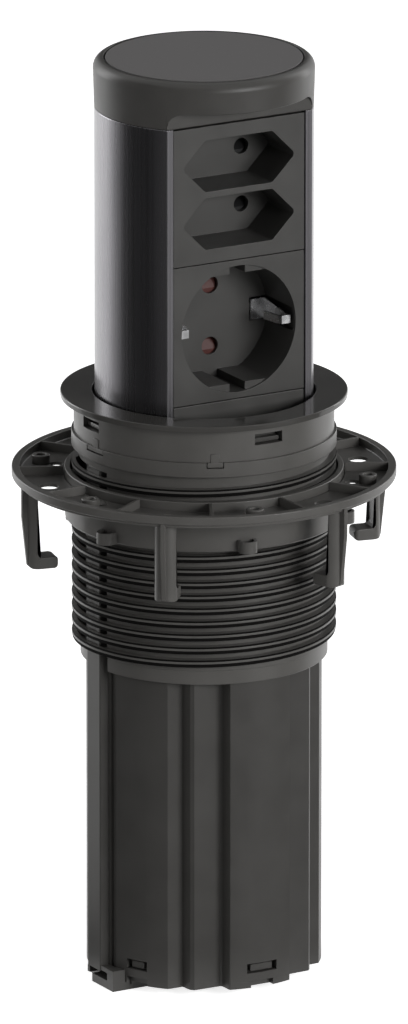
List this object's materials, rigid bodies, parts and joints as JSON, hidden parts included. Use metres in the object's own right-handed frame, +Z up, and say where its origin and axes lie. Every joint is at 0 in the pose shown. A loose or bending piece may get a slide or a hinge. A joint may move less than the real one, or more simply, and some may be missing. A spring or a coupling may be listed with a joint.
{
  "type": "pop up desk socket",
  "caption": "Round tower with flat Euro and Schuko sockets that slides up through a tabletop flange, with a threaded sleeve, a screw-up clamping ring and a long housing below.",
  "frame": {"origin": "on the tower's axis, in the plane of the tabletop's upper surface, which is the flange's underside", "axes": "+Z up out of the tabletop along the tower's axis; the sockets face -Y; +X to the right as seen from behind the tower"},
  "size_m": [0.1156, 0.1156, 0.2836],
  "materials": {
    "anthracite_metal": "satin",
    "black_plastic": "matte",
    "module_plastic": "satin",
    "disc_plastic": "matte",
    "shutter_red": "satin",
    "cover_black": "matte",
    "pale_plastic": "matte",
    "friction_rubber": "matte",
    "bright_steel": "satin",
    "contact_brass": "satin"
  },
  "bodies": {
    "base": {"bezel": "black_plastic", "collar": "black_plastic", "threaded_sleeve": "black_plastic", "guide_ring": "pale_plastic", "friction_pads": "friction_rubber", "housing": "anthracite_metal", "bottom_cap": "black_plastic", "cable_bush": "friction_rubber"},
    "tower": {"tower_profile": "anthracite_metal", "cap": "black_plastic", "cap_disc": "disc_plastic", "cap_screws": "bright_steel", "euro_module": "module_plastic", "euro_cover": "cover_black", "euro_spring_upper": "bright_steel", "euro_spring_lower": "bright_steel", "euro_contact_line": "contact_brass", "euro_contact_neutral": "contact_brass", "schuko_module": "module_plastic", "schuko_cover": "cover_black", "schuko_spring": "bright_steel", "schuko_contact_line": "contact_brass", "schuko_contact_neutral": "contact_brass", "earth_clips": "bright_steel", "blank_module": "module_plastic", "line_bar": "contact_brass", "neutral_bar": "contact_brass", "earth_bar": "contact_brass", "terminal_block": "pale_plastic", "terminal_screws": "bright_steel", "tower_base": "cover_black", "base_screws": "bright_steel"},
    "shutter_a": {"euro_shutter_upper": "cover_black"},
    "shutter_b": {"euro_shutter_lower": "cover_black"},
    "shutter_c": {"schuko_shutter": "shutter_red"},
    "clamp": {"clamp_plate": "black_plastic"},
    "nut": {"hub_nut": "black_plastic"}
  },
  "joints": [
    {"name": "tower_slide", "type": "slide", "parent": "base", "child": "tower", "axis": [0, 0, 1], "range_m": [-0.1027, 0]},
    {"name": "shutter_upper_slide", "type": "slide", "parent": "tower", "child": "shutter_a", "axis": [0, 0, -1], "range_m": [0, 0.005], "stiffness_N_per_m": 40, "springref_m": -0.004, "deforming": ["euro_spring_upper"]},
    {"name": "shutter_lower_slide", "type": "slide", "parent": "tower", "child": "shutter_b", "axis": [0, 0, -1], "range_m": [0, 0.005], "stiffness_N_per_m": 40, "springref_m": -0.004, "deforming": ["euro_spring_lower"]},
    {"name": "shutter_round_slide", "type": "slide", "parent": "tower", "child": "shutter_c", "axis": [0, 0, -1], "range_m": [0, 0.005], "stiffness_N_per_m": 40, "springref_m": -0.004, "deforming": ["schuko_spring"]},
    {"name": "clamp_slide", "type": "slide", "parent": "base", "child": "clamp", "axis": [0, 0, 1], "range_m": [-0.0366, 0.0061]},
    {"name": "nut_turn", "type": "hinge", "parent": "clamp", "child": "nut", "pos_m": [0, 0, -0.03], "axis": [0, 0, 1], "range_deg": [-3240, 540]}
  ],
  "couplings": [
    {"joint": "nut_turn", "follows": "clamp_slide", "rad_per_m": 1543.8}
  ]
}
